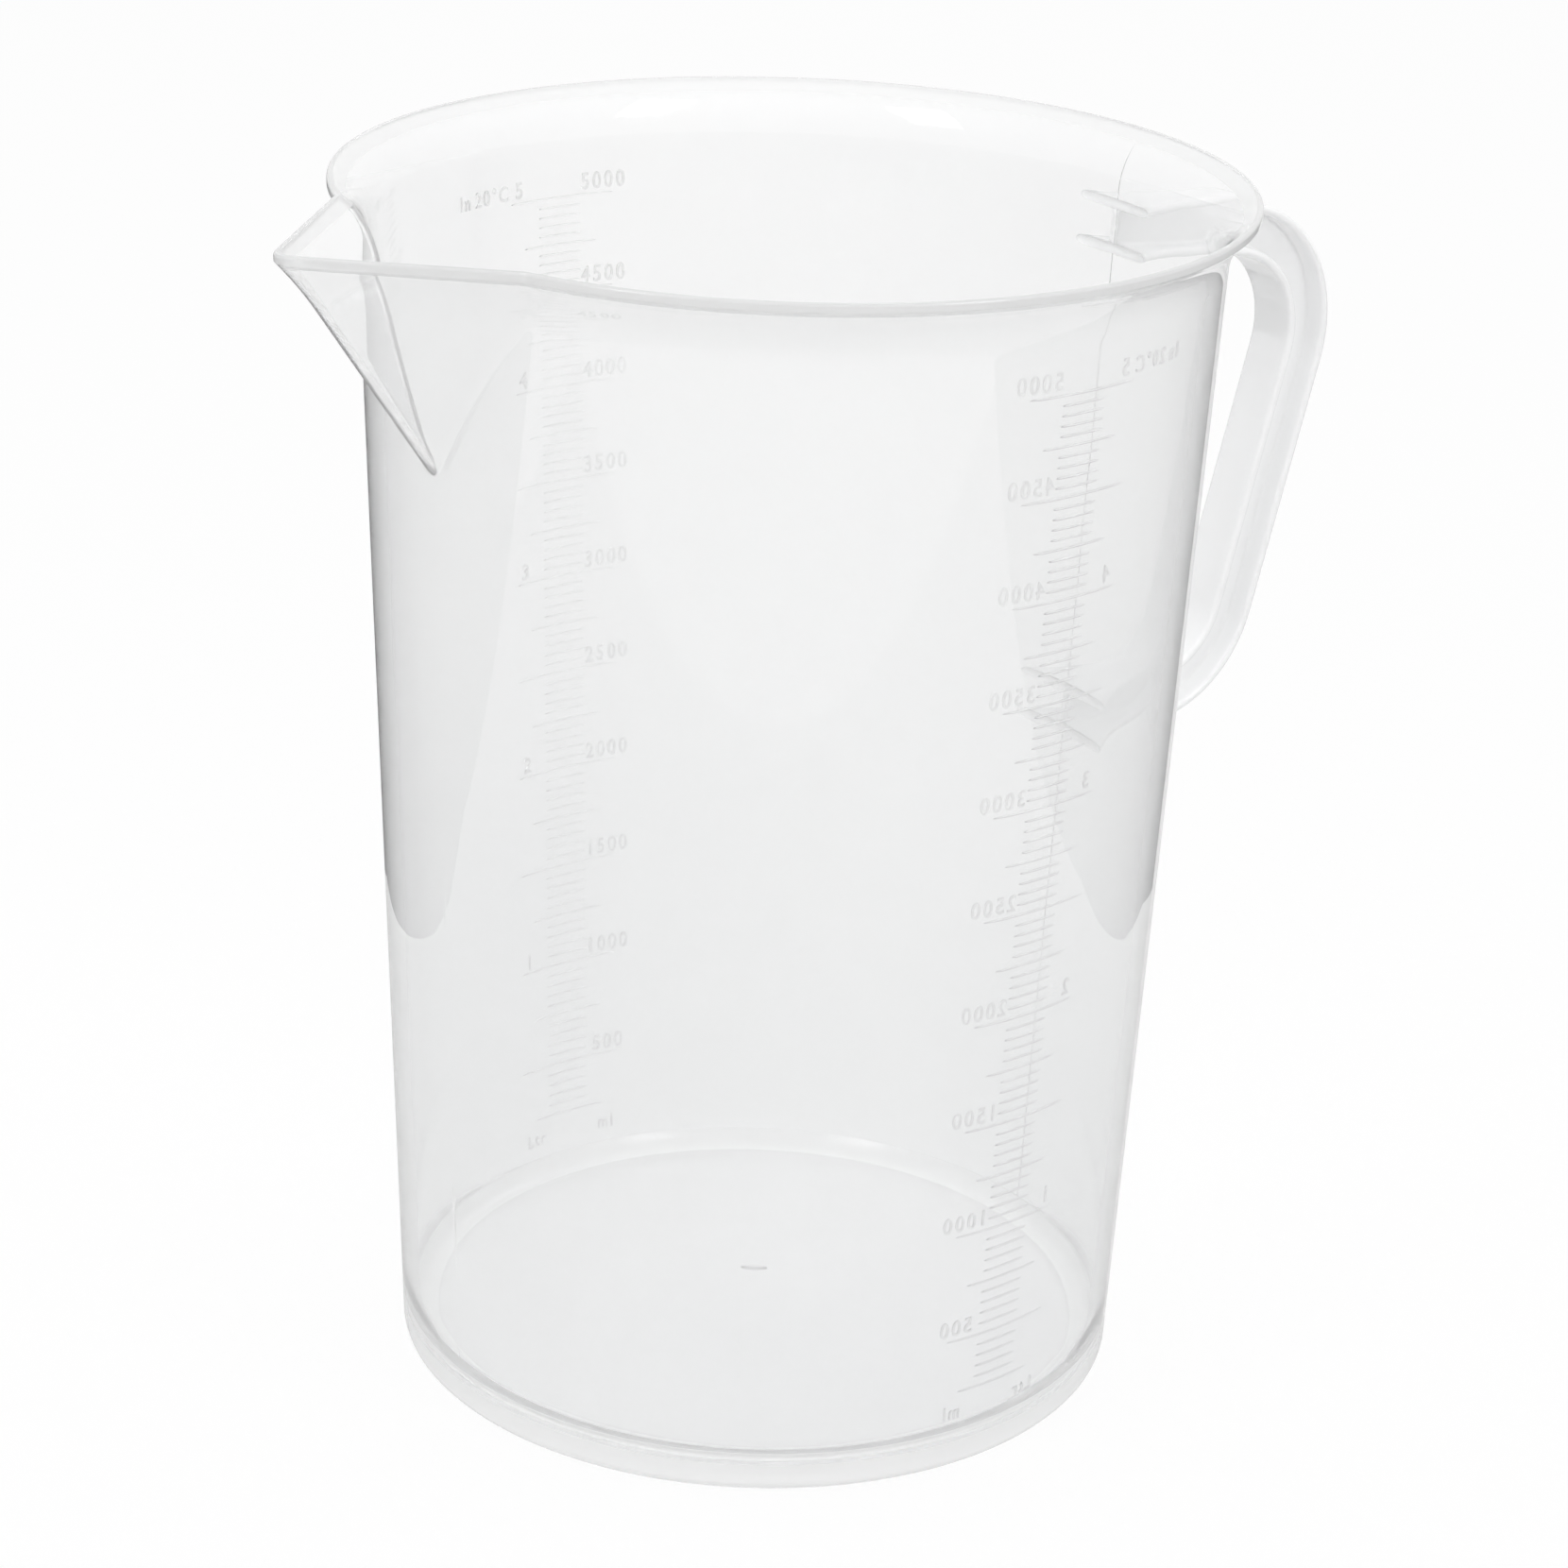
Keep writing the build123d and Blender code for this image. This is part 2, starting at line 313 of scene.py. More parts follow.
def makeCup():
    # Surface over (row of the half section, angle): the radius is the larger of the turned
    # wall and the V, run together softly along the fold, with the parting ridge on top. The
    # attribute fold is 1 on that fold and falls to 0 beside it; the material uses it to paint a
    # highlight along the fold.
    section, top = cupSection()
    radius, z = section[:, 0], section[:, 1]
    outside = np.arange(len(z)) <= top
    delta = columnAngles()[None, :]
    flareEnd = np.where(outside, lipBottom, cup["height"])
    share = np.clip((z - flareStart) / (flareEnd - flareStart), 0, 1)
    spout = spoutForm(delta, radius, z, outside, share)
    soft = (cup["crease"] * (1 - cup["creaseLoss"] * share))[:, None]
    blend = np.maximum(soft - np.abs(radius[:, None] - spout), 0) ** 2 / (4 * soft)
    reach = np.maximum(radius[:, None], spout) + blend + seamRidge(delta, radius, z, outside)
    level = np.broadcast_to(z[:, None], reach.shape)
    grid = np.stack([-reach * np.cos(delta), reach * np.sin(delta), level], axis=-1)[1:-1]
    rows, columns = grid.shape[:2]
    points = np.concatenate([grid.reshape(-1, 3), [[0, 0, z[0]], [0, 0, z[-1]]]])
    piece = addSurface("cup", points * mm, gridFaces(rows, columns), capFaces(rows, columns))
    ends = [cup["finishes"].index(name) for name in ("cornerPlastic", "floorPlastic")]
    finish = np.concatenate([cupFinish(radius, z, outside)[1:-2], ends])
    setFinishes(piece, np.repeat(finish, columns))
    # mask of the highlight painted along the fold between wall and spout
    fold = np.concatenate([(blend / (soft / 4))[1:-1].ravel(), [0, 0]]).astype(np.float32)
    piece.data.attributes.new("fold", "FLOAT", "POINT").data.foreach_set("value", fold)
    return piece


gateMark = {
    "place": (7.1, 9.8), "turn": -37.7, "long": 6.1, "wide": 2.4, "proud": 0.25,
    "clear": 0.02,          # hair's breadth over the floor
    "rings": 6, "columns": 32,
}


def makeGateMark():
    # Low oval pip the gate left on the floor: rings shrinking with share, each as high as the
    # square root of 1 less share squared.
    share = np.linspace(1, 0.1, gateMark["rings"])[:, None]
    turn = np.linspace(0, 2 * math.pi, gateMark["columns"], endpoint=False)[None, :]
    along = 0.5 * gateMark["long"] * share * np.cos(turn)
    across = 0.5 * gateMark["wide"] * share * np.sin(turn)
    foot = floorTop + gateMark["clear"]
    rise = foot + gateMark["proud"] * np.sqrt(1 - share**2) + 0 * turn
    tilt = math.radians(gateMark["turn"])
    middle = gateMark["place"]
    x = middle[0] + along * math.cos(tilt) - across * math.sin(tilt)
    y = middle[1] + along * math.sin(tilt) + across * math.cos(tilt)
    poles = [(*middle, foot), (*middle, foot + gateMark["proud"])]
    points = np.concatenate([np.stack([x, y, rise], axis=-1).reshape(-1, 3), poles])
    size = gateMark["rings"], gateMark["columns"]
    return addSurface("gate_mark", points * mm, gridFaces(*size), capFaces(*size))


cupPiece = makeCup()
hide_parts("cup_body")
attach(cupPiece, "root")
gatePiece = makeGateMark()
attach(gatePiece, "root")
print("cup:", len(cupPiece.data.polygons), "faces")


handle = {
    "top": 247.9, "bottom": 124.2, "reach": 158.58, "drop": 6.5, "lean": 15.3,
    "upperBend": 31.5, "lowerBend": 30.0,
    "depth": 12.0, "flange": 2.0, "width": 12.5, "web": 2.2,
    "flangeSlope": 0.15,    # how much a flange thickens from its edge to the web
    "rootRound": 35.0, "rootLength": 17.5,
    "edgeRound": 0.95, "cornerRound": 0.7,
    "clear": 0.04,          # hair's breadth between its ends and the wall
    "bendRows": 34, "gripRows": 28, "armRows": 22,
    "faceGap": 1.5, "edgeGap": 1.0, "webGap": 2.2,      # widest spacing round the section
}


def meetLines(first, second):
    # Crossing of two lines, each a unit normal and its distance from the origin.
    return np.linalg.solve([first[0], second[0]], [first[1], second[1]])


def handleRoute():
    # Outer face of the handle in its own plane: bend, grip and bend. Gives the points and
    # their inward unit normals, along which offsets stay parallel and concentric, and the
    # normals of the straight arm above and foot below.
    drop, lean = math.radians(handle["drop"]), math.radians(handle["lean"])
    arm = np.array([-math.sin(drop), -math.cos(drop)])
    grip = np.array([-math.cos(lean), math.sin(lean)])
    foot = np.array([0.0, 1.0])
    start = np.array([wallRadius(handle["top"]), handle["top"]])
    armEnd = handle["top"] - math.tan(drop) * (handle["reach"] - start[0])
    gripLine = (grip, grip @ np.array([handle["reach"], armEnd]))
    upper = meetLines((arm, arm @ start), gripLine)
    lower = meetLines(gripLine, (foot, handle["bottom"]))

    def bend(corner, before, after, radius):
        # Arc about the point at that radius from both lines; its normal turns evenly.
        turn = math.acos(before @ after)
        centre = corner + (before + after) / (1 + before @ after) * radius
        share = np.linspace(0, 1, handle["bendRows"])[:, None]
        normal = (np.sin((1 - share) * turn) * before + np.sin(share * turn) * after) / math.sin(turn)
        return centre - normal * radius, normal

    high, highNormal = bend(upper, arm, grip, handle["upperBend"])
    low, lowNormal = bend(lower, grip, foot, handle["lowerBend"])
    share = np.linspace(0, 1, handle["gripRows"] + 2)[1:-1, None]
    run = high[-1] + share * (low[0] - high[-1])
    points = np.concatenate([high, run, low])
    normals = np.concatenate([highNormal, np.broadcast_to(grip, run.shape), lowNormal])
    return points, normals, arm, foot


def handleSection():
    # I-section as a closed loop of (depth below the outer face, half width), edges rounded.
    half, web = handle["width"] / 2, handle["web"] / 2
    flange, depth = handle["flange"], handle["depth"]
    inset = flange + handle["flangeSlope"]
    edge, corner = handle["edgeRound"], handle["cornerRound"]
    faceGap, edgeGap, webGap = handle["faceGap"], handle["edgeGap"], handle["webGap"]
    side = roundedRun([
        ((0, 0), 0, faceGap),
        ((0, half), edge, edgeGap),
        ((flange, half), edge, faceGap),
        ((inset, web), corner, webGap),
        ((depth - inset, web), corner, faceGap),
        ((depth - flange, half), edge, edgeGap),
        ((depth, half), edge, faceGap),
        ((depth, 0), 0, faceGap),
    ])
    return np.concatenate([side, (side * [1, -1])[-2:0:-1]])


def flangeWidth(x, y):
    # Flanges keep their width along the grip and widen to the wall along the root's radius.
    tangent = wallRadius(handle["top"]) + handle["rootLength"]
    back = np.clip(tangent - x, 0, handle["rootRound"] * 0.98)      # short of an upright flange
    wide = handle["width"] / 2 + handle["rootRound"] - np.sqrt(handle["rootRound"] ** 2 - back**2)
    web = handle["web"] / 2
    spread = np.maximum(np.abs(y) - web, 0) / (handle["width"] / 2 - web)
    return np.sign(y) * (np.minimum(np.abs(y), web) + spread * (wide - web))


def wallRows(bend, normal, loop):
    # Rows from the cup's outer wall to the section at a bend, square to its normal. Each line
    # starts where it meets the wall: x, y and z are worked out in turn until they settle.
    x, z = bend[:, 0], bend[:, 1]
    for step in range(12):
        y = flangeWidth(x, loop[:, 1])
        x = np.sqrt((wallRadius(z) + handle["clear"]) ** 2 - y**2)
        z = bend[:, 1] - (x - bend[:, 0]) * normal[0] / normal[1]
    atWall = np.stack([x, z], axis=-1)
    return atWall + np.linspace(0, 1, handle["armRows"])[:, None, None] * (bend - atWall)


def makeHandle():
    # Section carried along the route, with an arm and a foot that run into the cup's wall.
    # Each end is closed by strips between mirrored points of the loop.
    points, normals, arm, foot = handleRoute()
    loop = handleSection()
    body = points[:, None, :] + loop[None, :, :1] * normals[:, None, :]
    upper = wallRows(body[0], arm, loop)
    lower = wallRows(body[-1], foot, loop)[::-1]
    body = np.concatenate([upper[:-1], body, lower[1:]])
    y = flangeWidth(body[..., 0], loop[None, :, 1])
    rows, columns = y.shape
    points = np.stack([body[..., 0], y, body[..., 1]], axis=-1).reshape(-1, 3)
    left = np.arange(1, columns // 2)
    right = columns - left
    strips = np.stack([left[:-1], left[1:], right[1:], right[:-1]], axis=-1)
    tips = np.array([[0, left[0], right[0]], [columns // 2, right[-1], left[-1]]])
    last = (rows - 1) * columns
    side = gridFaces(rows, columns)
    quads = np.concatenate([side, strips, strips[:, ::-1] + last])
    piece = addSurface("grip", points * mm, quads, np.concatenate([tips, tips[:, ::-1] + last]))
    ends = np.arange(len(piece.data.polygons)) >= len(side)
    setFinishes(piece, ends.astype(int))
    return piece


handlePiece = makeHandle()
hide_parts("handle")
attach(handlePiece, "root")
print("handle:", len(handlePiece.data.polygons), "faces")


ladder = {
    "turn": 88.2, "shift": 1.3,         # each ladder's middle, degrees round from the handle
    "first": 250, "step": 50, "medium": 250, "major": 500, "capacity": 5000,    # millilitres
    "relief": 0.35, "clear": 0.02, "lineWidth": 0.5,
    "majorLength": 27.0, "mediumLength": 19.0, "minorLength": 11.0,
    "taper": 12,            # the higher, the later a line draws in towards its ends
    "tipProud": 0.05, "rings": 9, "sides": 10,
}
figures = {
    "height": 3.7, "width": 0.85, "spacing": 1.3, "edge": 0.06,
    "capital": 0.7,         # height of a capital as a share of the font's size
    "curveSteps": 5,
    "rise": 1.2, "drop": 6.5,           # above a line, and below the lowest one
    "millilitres": 11.1, "litres": -11.2,       # places along the line
    "upper": [("20°C", -19.5), ("In", -28.0)], "upperSize": 0.9,
    "lower": [("ml", 10.5), ("Ltr", -9.5)], "lowerSize": 0.85,
}


def levelHeight(volume):
    # Height of the liquid for a volume in millilitres: a frustum of the inner cone, less the
    # rounding between wall and floor, whose cross-section has its centroid at middle from
    # the corner.
    middle = cup["floorRound"] * (5 / 6 - math.pi / 4) / (1 - math.pi / 4)
    corner = 2 * math.pi * (innerFoot - middle) * cup["floorRound"] ** 2 * (1 - math.pi / 4)
    cube = innerFoot**3 + 3 * slope * (volume * 1000 + corner) / math.pi
    return floorTop + (np.cbrt(cube) - innerFoot) / slope


def onInnerWall(along, height, proud, facing):
    # Place on the inner wall: along is the way round in reading direction, from the ladder's
    # middle, height is above the table, and proud is how far the point stands off the wall.
    along, height, proud = np.broadcast_arrays(along, height, proud)
    radius = wallRadius(height) - sideWall
    angle = math.radians(facing) - along / radius
    reach = radius - proud
    return np.stack([reach * np.cos(angle), reach * np.sin(angle), height], axis=-1)


def makeLines(name, facing):
    # Every line at once: a rounded ridge (half width times cosine, relief times sine) carried
    # through the line's length, drawn in to a point at both ends.
    rings, sides = ladder["rings"], ladder["sides"]
    volumes = np.arange(ladder["first"], ladder["capacity"] + 1, ladder["step"])
    kinds = [volumes % ladder["major"] == 0, volumes % ladder["medium"] == 0]
    length = np.select(kinds, [ladder["majorLength"], ladder["mediumLength"]], ladder["minorLength"])
    level = levelHeight(volumes)
    travel = -np.cos(np.linspace(0, math.pi, rings + 2)[1:-1])[:, None]
    turn = np.linspace(0, 2 * math.pi, sides, endpoint=False)
    full = (1 - travel ** ladder["taper"]) ** 0.5
    depth = ladder["clear"] + (ladder["relief"] - ladder["clear"]) * np.maximum(np.sin(turn), 0)
    along = 0.5 * length[:, None, None] * travel
    height = level[:, None, None] + 0.5 * ladder["lineWidth"] * full * np.cos(turn)
    body = onInnerWall(along, height, full * depth, facing).reshape(len(volumes), -1, 3)
    tips = onInnerWall(length[:, None] * [-0.5, 0.5], level[:, None], ladder["tipProud"], facing)
    points = np.concatenate([body, tips], axis=1)
    offset = (np.arange(len(volumes)) * points.shape[1])[:, None, None]
    quads = (gridFaces(rings, sides) + offset).reshape(-1, 4)
    triangles = (capFaces(rings, sides) + offset).reshape(-1, 3)
    return addSurface(name, points.reshape(-1, 3) * mm, quads, triangles)


def figureMesh(text, height):
    # Flat lettering from the built-in font as a mesh with a softened edge, in millimetres.
    curve = bpy.data.curves.new("figure", "FONT")
    curve.body = text
    curve.size = height / figures["capital"]
    curve.align_x = "CENTER"
    curve.resolution_u = figures["curveSteps"]
    curve.space_character = figures["spacing"]
    curve.extrude = 0.5 * (ladder["relief"] - ladder["clear"]) - figures["edge"]
    curve.bevel_depth = figures["edge"]
    curve.bevel_resolution = 0
    holder = addObject("figure", curve)
    bpy.context.view_layer.update()
    graph = bpy.context.evaluated_depsgraph_get()
    mesh = bpy.data.meshes.new_from_object(holder.evaluated_get(graph))
    points = np.empty(len(mesh.vertices) * 3)
    mesh.vertices.foreach_get("co", points)
    faces = [tuple(face.vertices) for face in mesh.polygons]
    bpy.data.objects.remove(holder)
    bpy.data.curves.remove(curve)
    bpy.data.meshes.remove(mesh)
    return points.reshape(-1, 3), faces


def figureMarks():
    # Text, height, place along the line and level of every figure: millilitres over the right
    # end of each long line and litres over its left end, then the words beside the top figures
    # and the units under the lowest line.
    size = figures["height"]
    marks = []
    for volume in range(ladder["major"], ladder["capacity"] + 1, ladder["major"]):
        level = levelHeight(volume) + figures["rise"]
        marks.append((str(volume), size, figures["millilitres"], level))
        if volume % 1000 == 0:
            marks.append((str(volume // 1000), size, figures["litres"], level))
    top = levelHeight(ladder["capacity"]) + figures["rise"]
    low = levelHeight(ladder["first"]) - figures["drop"]
    marks += [(text, size * figures["upperSize"], along, top) for text, along in figures["upper"]]
    marks += [(text, size * figures["lowerSize"], along, low) for text, along in figures["lower"]]
    return marks


def makeFigures(name, facing):
    # Figures laid round the wall, read from inside the cup, as thick as the lines.
    points, faces, count = [], [], 0
    middle = 0.5 * (ladder["relief"] + ladder["clear"])
    for text, height, along, level in figureMarks():
        shape, polygons = figureMesh(text, height)
        across, up, proud = shape.T
        points.append(onInnerWall(along + across * figures["width"], level + up, proud + middle, facing))
        faces += [tuple(count + k for k in polygon) for polygon in polygons]
        count += len(shape)
    return addFlat(name, (np.concatenate(points) * mm).tolist(), faces)


linePieces, figurePieces = [], []
for side, turn in (("front", -ladder["turn"]), ("back", ladder["turn"])):
    lines = makeLines(side + "_lines", ladder["shift"] + turn)
    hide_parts(side + "_scale")
    linePieces.append(lines)
    figurePieces.append(makeFigures(side + "_figures", ladder["shift"] + turn))
for piece in linePieces + figurePieces:
    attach(piece, "root")
print("volume lines and figures:", sum(len(p.data.polygons) for p in linePieces + figurePieces), "faces")


def addNode(tree, kind, place=(0, 0), inputs=None, **settings):
    # A node with its settings, and its inputs as plain values or as the sockets that feed them.
    node = tree.nodes.new(kind)
    node.location = place
    for key, value in settings.items():
        setattr(node, key, value)
    for key, value in (inputs or {}).items():
        if isinstance(value, bpy.types.NodeSocket):
            tree.links.new(value, node.inputs[key])
        else:
            node.inputs[key].default_value = value
    return node


def mathNode(tree, operation, *values):
    # Result of one operation on values or sockets.
    return addNode(tree, "ShaderNodeMath", operation=operation, inputs=dict(enumerate(values))).outputs[0]


def noiseNode(tree, vector, scale, detail):
    inputs = {"Scale": scale, "Detail": detail, "Vector": vector}
    return addNode(tree, "ShaderNodeTexNoise", inputs=inputs).outputs["Fac"]


def mapRange(tree, value, low, high, start, end, smooth=False):
    inputs = {"Value": value, "From Min": low, "From Max": high, "To Min": start, "To Max": end}
    kind = "SMOOTHSTEP" if smooth else "LINEAR"
    return addNode(tree, "ShaderNodeMapRange", inputs=inputs, interpolation_type=kind).outputs["Result"]


pattern = {         # scales per metre, then how milky the clouds are, how much darker the colour turns towards the bottom, and where
    "waves": 22, "drag": 420, "dragStretch": 0.06, "grain": 2600, "clouds": 9,
    "cloudEdges": (0.3, 0.7), "cloudHaze": 0.35,
    # darker towards the bottom: haze of this strength at the lower height, fading to none at the upper, in
    # metres
    "lowDarkening": 0.65, "darkeningHeights": (0.03, 0.21),
    "wornDrag": (0.45, 0.75),       # drag marks between these heights go from polished to worn
}


def mouldedGroup():
    # Surface of a clear moulding: slow waviness from the flow of the plastic, faint drag marks
    # along the draft and fine grain make the height. The haze comes in clouds and also grows
    # towards the bottom, which turns the colour darker there, and the drag marks wear dull.
    group = bpy.data.node_groups.new("mouldedSurface", "ShaderNodeTree")
    for name, start in (("Waviness", 1.0), ("Drag marks", 0.3), ("Grain", 0.2)):
        socket = group.interface.new_socket(name, in_out="INPUT", socket_type="NodeSocketFloat")
        socket.default_value = start
    for name in ("Height", "Haze", "Wear"):
        group.interface.new_socket(name, in_out="OUTPUT", socket_type="NodeSocketFloat")
    inlet = addNode(group, "NodeGroupInput", (-1200, 0))
    place = addNode(group, "ShaderNodeTexCoord", (-1200, -300)).outputs["Object"]
    drawn = {"Vector": place, "Scale": (1, 1, pattern["dragStretch"])}
    along = addNode(group, "ShaderNodeMapping", inputs=drawn, vector_type="POINT").outputs[0]
    waves = noiseNode(group, place, pattern["waves"], 2)
    drag = noiseNode(group, along, pattern["drag"], 2)
    grain = noiseNode(group, place, pattern["grain"], 1)
    height = mathNode(group, "MULTIPLY", waves, inlet.outputs["Waviness"])
    height = mathNode(group, "MULTIPLY_ADD", drag, inlet.outputs["Drag marks"], height)
    height = mathNode(group, "MULTIPLY_ADD", grain, inlet.outputs["Grain"], height)
    cloud = noiseNode(group, place, pattern["clouds"], 3)
    cloud = mapRange(group, cloud, *pattern["cloudEdges"], 0, pattern["cloudHaze"], smooth=True)
    level = addNode(group, "ShaderNodeSeparateXYZ", inputs={0: place}).outputs["Z"]
    # haze that turns the colour darker towards the bottom
    low = mapRange(group, level, *pattern["darkeningHeights"], pattern["lowDarkening"], 0, smooth=True)
    hazeAndDarkening = mathNode(group, "ADD", cloud, low)
    wear = mapRange(group, drag, *pattern["wornDrag"], 0, 1)
    addNode(group, "NodeGroupOutput", (900, 0), inputs={"Height": height, "Haze": hazeAndDarkening, "Wear": wear})
    return group


moulded = mouldedGroup()
plainPlastic = {        # what most finishes share
    "bump": 0.00005, "ior": 1.49, "waviness": 0.5, "drag": 0.05, "grain": 0.006,
    "paintedGlow": 0.0,         # painted glow, an emission that stands in for light scattered inside
    "shadowLet": 0.9,       # share of its shadow that is lit all the same
}
plastics = {            # clear and hazy colour, roughness polished and worn
    "clearPlastic": {
        "clear": (0.985, 0.986, 0.987), "hazy": (0.932, 0.935, 0.938),
        "polished": 0.01, "worn": 0.04, "transmission": 0.80,
    },
    "lipPlastic": {
        "clear": (0.87, 0.872, 0.873), "hazy": (0.85, 0.852, 0.853),
        "polished": 0.05, "worn": 0.09, "transmission": 0.4,
    },
    "floorPlastic": {
        "clear": (0.975, 0.977, 0.978), "hazy": (0.955, 0.957, 0.96),
        "polished": 0.05, "worn": 0.09, "transmission": 0.6,
    },
    "footPlastic": {        # outside of the foot
        "clear": (0.87, 0.872, 0.873), "hazy": (0.85, 0.852, 0.853),
        "polished": 0.10, "worn": 0.15, "transmission": 0.3,
    },
    "cornerPlastic": {      # underside, and the rounding between wall and floor, with a painted glow that lifts their shade
        "clear": (0.86, 0.862, 0.863), "hazy": (0.84, 0.842, 0.843),
        "polished": 0.10, "worn": 0.15, "transmission": 0.5, "paintedGlow": 0.115,
    },
    # the handle, with a faint painted glow
    "gripPlastic": {
        "clear": (0.92, 0.922, 0.925), "hazy": (0.90, 0.902, 0.905),
        "polished": 0.06, "worn": 0.12, "transmission": 0.2, "paintedGlow": 0.015,
        "waviness": 1.5, "drag": 0.06, "grain": 0.01,
    },
    "rootPlastic": {        # where the handle runs into the wall, with a painted glow that lifts the shade of these end faces
        "clear": (0.93, 0.932, 0.935), "hazy": (0.91, 0.912, 0.915),
        "polished": 0.3, "worn": 0.4, "transmission": 0.1, "paintedGlow": 0.17,
        "waviness": 1.0, "drag": 0.06, "grain": 0.01,
    },
    "reliefPlastic": {      # volume lines and gate mark
        "clear": (0.985, 0.985, 0.985), "hazy": (0.97, 0.97, 0.97),
        "polished": 0.06, "worn": 0.12, "transmission": 0.90, "ior": 1.39,
        "bump": 0.00004, "waviness": 1.0, "drag": 0.10, "grain": 0.10,
    },
    "figurePlastic": {
        "clear": (0.93, 0.93, 0.93), "hazy": (0.915, 0.915, 0.915),
        "polished": 0.10, "worn": 0.16, "transmission": 0.80, "ior": 1.36,
        "bump": 0.00004, "waviness": 1.0, "drag": 0.10, "grain": 0.10,
    },
}


def plasticMaterial(name):
    # Clear polypropylene: the haze sets how milky the body looks, and how much darker it turns
    # towards the bottom, and the wear how dull. Along the fold between wall and spout a highlight
    # is painted into the colour, and a painted glow, an emission, stands in for light scattered inside.
    finish = plainPlastic | plastics[name]
    material = bpy.data.materials.new(name)
    material.use_nodes = True
    tree = material.node_tree
    shader = tree.nodes["Principled BSDF"]
    marks = {"Waviness": finish["waviness"], "Drag marks": finish["drag"], "Grain": finish["grain"]}
    surface = addNode(tree, "ShaderNodeGroup", (-900, 0), marks, node_tree=moulded)
    fold = addNode(tree, "ShaderNodeAttribute", (-700, -100), attribute_name="fold")
    path = addNode(tree, "ShaderNodeLightPath", (-700, 500))
    milky = {"Factor": surface.outputs["Haze"], "A": (*finish["clear"], 1), "B": (*finish["hazy"], 1)}
    colour = addNode(tree, "ShaderNodeMix", (-500, 200), milky, data_type="RGBA")
    # painted highlight: the colour turns white along the fold between wall and spout
    light = {"Factor": fold.outputs["Fac"], "A": colour.outputs["Result"], "B": (1, 1, 1, 1)}
    foldHighlight = addNode(tree, "ShaderNodeMix", (-250, 200), light, data_type="RGBA")
    relief = {"Strength": 1.0, "Distance": finish["bump"], "Height": surface.outputs["Height"]}
    bump = addNode(tree, "ShaderNodeBump", (-400, -300), relief)
    dull = mapRange(tree, surface.outputs["Wear"], 0, 1, finish["polished"], finish["worn"])
    solid = mathNode(tree, "MULTIPLY_ADD", path.outputs["Is Shadow Ray"], -finish["shadowLet"], 1.0)
    tree.links.new(foldHighlight.outputs["Result"], shader.inputs["Base Color"])
    tree.links.new(dull, shader.inputs["Roughness"])
    tree.links.new(bump.outputs["Normal"], shader.inputs["Normal"])
    tree.links.new(solid, shader.inputs["Alpha"])
    shader.inputs["Transmission Weight"].default_value = finish["transmission"]
    shader.inputs["IOR"].default_value = finish["ior"]
    # painted glow: a white emission, though the plastic is no lamp, stands in for light scattered inside
    shader.inputs["Emission Color"].default_value = (1, 1, 1, 1)
    shader.inputs["Emission Strength"].default_value = finish["paintedGlow"]
    return material


finished = {name: plasticMaterial(name) for name in plastics}
for slot, name in enumerate(cup["finishes"]):
    cupPiece.data.materials[slot] = finished[name]
for slot, name in enumerate(("gripPlastic", "rootPlastic")):
    handlePiece.data.materials[slot] = finished[name]
for piece in linePieces + [gatePiece]:
    piece.data.materials.append(finished["reliefPlastic"])
for piece in figurePieces:
    piece.data.materials.append(finished["figurePlastic"])
for name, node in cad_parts.items():
    node.data.materials.clear()
    node.data.materials.append(finished["reliefPlastic" if name.endswith("scale") else "clearPlastic"])
print("materials ready")


studio = {
    "ambient": 0.91,        # level of the world as a light
    "paper": 0.86,          # tone of the table top
    "floorGlow": 0.88,      # share of the table top that stays white whatever falls on it
    "tableHalf": 6.0, "tableDrop": 0.0002,      # half its side, and how far it lies below zero
    "lampPower": 3.8, "lampSize": (0.32, 0.58), "lampDistance": 1.5,
    "lampAim": 0.13,        # height of the point they face
    "lampRise": 48.0, "lampSpread": {"softBoxLeft": -44.0, "softBoxRight": 50.0},       # degrees
}
surround = {        # metres on the table top, x to the camera's right and y away from it
    "whiteEdge": [
        (-1.2, -0.75), (-0.75, -0.35), (-0.359, -0.002), (-0.298, 0.027), (-0.270, 0.056),
        (-0.244, 0.098), (-0.217, 0.139), (-0.187, 0.180), (-0.153, 0.225), (-0.08, 0.262),
        (0.06, 0.268), (0.15, 0.25), (0.216, 0.189), (0.246, 0.123), (0.269, 0.089),
        (0.295, 0.053), (0.333, 0.005), (0.352, -0.034), (0.45, -0.22), (0.75, -0.75),
    ],
    "roomTone": 0.15, "roomHeight": 0.001, "roomSize": 8,       # size as a multiple of the edge
    "sheenEdge": [(-0.6, -0.45), (-0.5, 0.3), (0.5, 0.3), (0.6, -0.45)],
    "sheenTone": 0.68, "sheenHeight": 0.0008,
    "screenTone": 0.82, "screenHeight": 0.0015, "screenTurn": 68.5, "screenAside": 0.083,
    "screenLength": 6.0,
}
view = {
    "place": (-0.5232, -0.6818, 0.4735),
    "heading": 37.655, "pitch": 21.83, "roll": 2.18,    # degrees
    "lens": 98.04, "sensor": 36, "farthest": 50,
}


def seenShare(tree):
    # 1 for every ray that looks at the backdrop directly, in a reflection or through plastic.
    path = addNode(tree, "ShaderNodeLightPath")
    seen = mathNode(tree, "MAXIMUM", path.outputs["Is Camera Ray"], path.outputs["Is Glossy Ray"])
    return mathNode(tree, "MAXIMUM", seen, path.outputs["Is Transmission Ray"])


